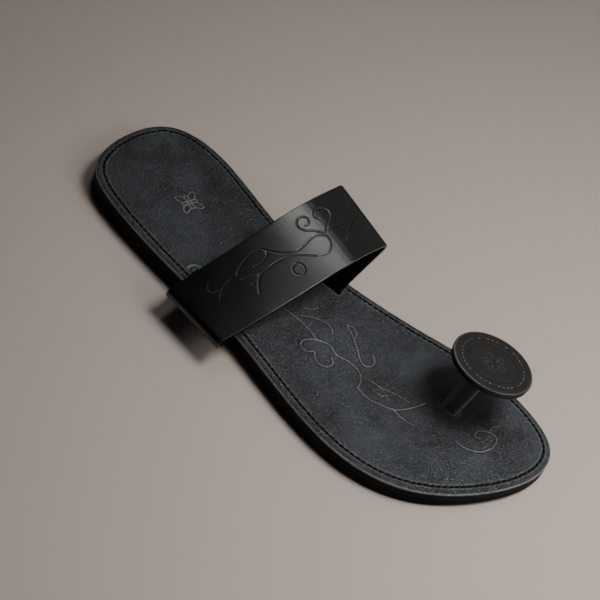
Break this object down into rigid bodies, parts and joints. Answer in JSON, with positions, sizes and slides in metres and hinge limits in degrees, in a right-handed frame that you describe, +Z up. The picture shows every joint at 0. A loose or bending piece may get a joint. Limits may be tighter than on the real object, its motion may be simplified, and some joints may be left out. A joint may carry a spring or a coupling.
{
  "type": "flat sandal",
  "caption": "Flat black leather sandal for the right foot, with a wide instep strap and a round knob gripped between the first two toes.",
  "frame": {"origin": "middle of the footprint on the floor, under the sole", "axes": "+Z up, +Y towards the toe, +X to the wearer's right, which is the outer side of this right shoe"},
  "size_m": [0.1046, 0.265, 0.0454],
  "materials": {
    "insole_leather": "black pebbled leather, semi-gloss, stitched near its edge",
    "strap_leather": "smooth black leather with embossed scrolls, satin",
    "disc_leather": "matt brownish-black leather",
    "outsole_leather": "dark brown-black sole leather with a burnished edge"
  },
  "bodies": {
    "root": {"outsole": "outsole_leather", "insole": "insole_leather", "instep_strap": "strap_leather", "toe_post": "strap_leather", "toe_disc": "disc_leather", "toe_disc_backing": "disc_leather"}
  },
  "joints": []
}
